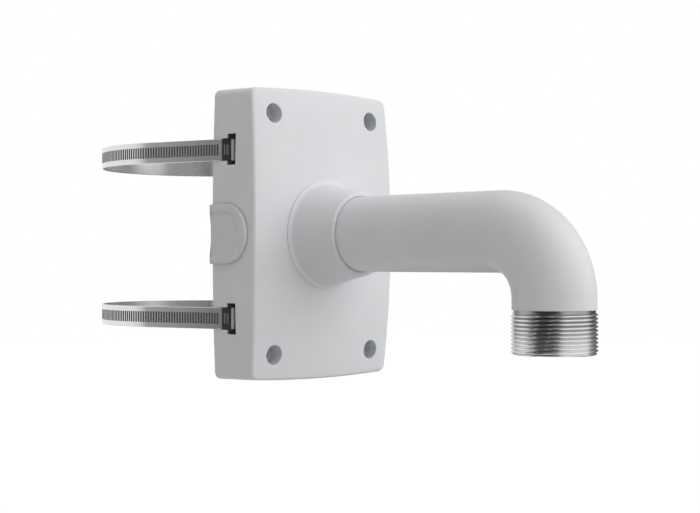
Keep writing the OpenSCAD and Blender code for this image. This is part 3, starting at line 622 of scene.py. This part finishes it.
build_lid("left_lid_cover", "left_side_lid", "left_lid", 1)
build_lid("right_lid_cover", "right_side_lid", "right_lid", -1)


# Floor, backdrop and light

# Soft lobes of room light as azimuth, height and strength, over an even ROOM strength
LOBES = ((15, 0, 0.20), (15, 50, 0.76), (60, 30, 1.05))
ROOM = 0.43
# Dark flags in reflections as azimuth, half width and darkest value
FLAGS = ((-73.0, 52.0, 0.05), (95.0, 50.0, 0.12))
FLOOR_TONE, FLOOR_Z, FLOOR_HALF = 0.55, -0.45, 6
FLOOR_GLOW, FLOOR_GLOW_SHARE = 1.05, 0.92


def node_maker(tree):
    """Helpers that add a node to tree: add(kind, settings) and math_node(operation, values or sockets)."""
    def add(kind, **settings):
        node = tree.nodes.new(kind)
        for key, value in settings.items():
            setattr(node, key, value)
        return node

    def math_node(operation, *values):
        node = add("ShaderNodeMath", operation=operation)
        for k, value in enumerate(values):
            if isinstance(value, bpy.types.NodeSocket):
                tree.links.new(value, node.inputs[k])
            else:
                node.inputs[k].default_value = value
        return node.outputs[0]

    return add, math_node


def flagged(tree, place):
    """1, falling to each flag's dark value near its azimuth, for the direction or point place."""
    add, math_node = node_maker(tree)
    axes = add("ShaderNodeSeparateXYZ")
    tree.links.new(place, axes.inputs[0])
    angle = math_node("ARCTAN2", axes.outputs["Y"], axes.outputs["X"])
    gloss = 1.0
    for centre, half_width, dark in FLAGS:
        turn = math_node("WRAP", math_node("SUBTRACT", angle, math.radians(centre)), math.pi, -math.pi)
        edge = add("ShaderNodeMapRange", interpolation_type="SMOOTHSTEP")
        tree.links.new(math_node("ABSOLUTE", turn), edge.inputs["Value"])
        for key, value in (("From Min", math.radians(half_width * 0.6)), ("From Max", math.radians(half_width)),
                           ("To Min", dark), ("To Max", 1.0)):
            edge.inputs[key].default_value = value
        gloss = math_node("MINIMUM", gloss, edge.outputs["Result"])
    return gloss


def white_floor():
    """A wide floor below the bracket: white to the camera, with a trace of the shadow kept, flagged like
    the room in reflections, and open from below."""
    mesh = bpy.data.meshes.new("floor")
    corners = [(x * FLOOR_HALF, y * FLOOR_HALF, FLOOR_Z) for x, y in ((-1, -1), (1, -1), (1, 1), (-1, 1))]
    mesh.from_pydata(corners, [], [(0, 1, 2, 3)])
    floor = bpy.data.objects.new("floor", mesh)
    scene.collection.objects.link(floor)
    mat = bpy.data.materials.new("white_floor")
    mat.use_nodes = True
    tree = mat.node_tree
    tree.nodes.clear()
    add, math_node = node_maker(tree)
    pale, glow, blend = add("ShaderNodeBsdfDiffuse"), add("ShaderNodeEmission"), add("ShaderNodeMixShader")
    pale.inputs["Color"].default_value = (FLOOR_TONE, FLOOR_TONE, FLOOR_TONE, 1)
    rays = add("ShaderNodeLightPath")
    flags = flagged(tree, add("ShaderNodeTexCoord").outputs["Object"])
    strength = math_node("MAXIMUM", rays.outputs["Is Camera Ray"], flags)
    tree.links.new(math_node("MULTIPLY", strength, FLOOR_GLOW), glow.inputs["Strength"])
    seen = math_node("MAXIMUM", rays.outputs["Is Camera Ray"], rays.outputs["Is Glossy Ray"])
    tree.links.new(math_node("MULTIPLY", seen, FLOOR_GLOW_SHARE), blend.inputs[0])
    tree.links.new(pale.outputs[0], blend.inputs[1])
    tree.links.new(glow.outputs[0], blend.inputs[2])
    open_below = add("ShaderNodeMixShader")
    tree.links.new(add("ShaderNodeNewGeometry").outputs["Backfacing"], open_below.inputs[0])
    tree.links.new(blend.outputs[0], open_below.inputs[1])
    tree.links.new(add("ShaderNodeBsdfTransparent").outputs[0], open_below.inputs[2])
    tree.links.new(open_below.outputs[0], add("ShaderNodeOutputMaterial").inputs[0])
    mesh.materials.append(mat)


def studio_world():
    """Soft room light: paler above and in front. The camera sees plain white, and glossy surfaces see
    white with two dark flags, as in a light tent."""
    world = bpy.data.worlds.new("studio")
    world.use_nodes = True
    scene.world = world
    tree = world.node_tree
    tree.nodes.clear()
    add, math_node = node_maker(tree)
    direction = add("ShaderNodeTexCoord").outputs["Generated"]
    room = math_node("ADD", ROOM, 0.0)
    for azimuth, height, strength in LOBES:
        a, h = math.radians(azimuth), math.radians(height)
        dot = add("ShaderNodeVectorMath", operation="DOT_PRODUCT")
        tree.links.new(direction, dot.inputs[0])
        dot.inputs[1].default_value = (math.cos(h) * math.cos(a), math.cos(h) * math.sin(a), math.sin(h))
        lobe = add("ShaderNodeMapRange", interpolation_type="SMOOTHSTEP")
        tree.links.new(dot.outputs["Value"], lobe.inputs["Value"])
        lobe.inputs["From Min"].default_value = 0.45
        lobe.inputs["From Max"].default_value = 0.95
        lobe.inputs["To Max"].default_value = strength
        room = math_node("ADD", room, lobe.outputs["Result"])
    gloss = flagged(tree, direction)
    rays = add("ShaderNodeLightPath")
    mirror = math_node("MAXIMUM", rays.outputs["Is Glossy Ray"], rays.outputs["Is Transmission Ray"])
    level = add("ShaderNodeMix", data_type="FLOAT")
    for key, value in ((0, mirror), (2, room), (3, gloss)):
        tree.links.new(value, level.inputs[key])
    level = math_node("MAXIMUM", level.outputs[0], rays.outputs["Is Camera Ray"])
    background = add("ShaderNodeBackground")
    tree.links.new(level, background.inputs["Strength"])
    background.inputs["Color"].default_value = (1.0, 1.0, 1.0, 1.0)
    tree.links.new(background.outputs[0], add("ShaderNodeOutputWorld").inputs[0])


def soft_lamp(name, place, target, size, power, tint):
    """A square soft box at place, turned towards target."""
    data = bpy.data.lights.new(name, "AREA")
    data.shape = "RECTANGLE"
    data.size, data.size_y = size
    data.energy = power
    data.color = tint
    lamp = bpy.data.objects.new(name, data)
    lamp.location = place
    away = np.subtract(target, place)
    yaw = math.atan2(away[1], away[0]) - math.pi / 2
    pitch = math.atan2(away[2], math.hypot(away[0], away[1]))
    lamp.rotation_euler = (math.pi / 2 + pitch, 0.0, yaw)
    scene.collection.objects.link(lamp)


white_floor()
studio_world()
soft_lamp("key_box", (1.2, 1.4, 0.9), (0.15, 0, 0), (0.9, 1.2), 1.5, (0.95, 0.98, 1.03))
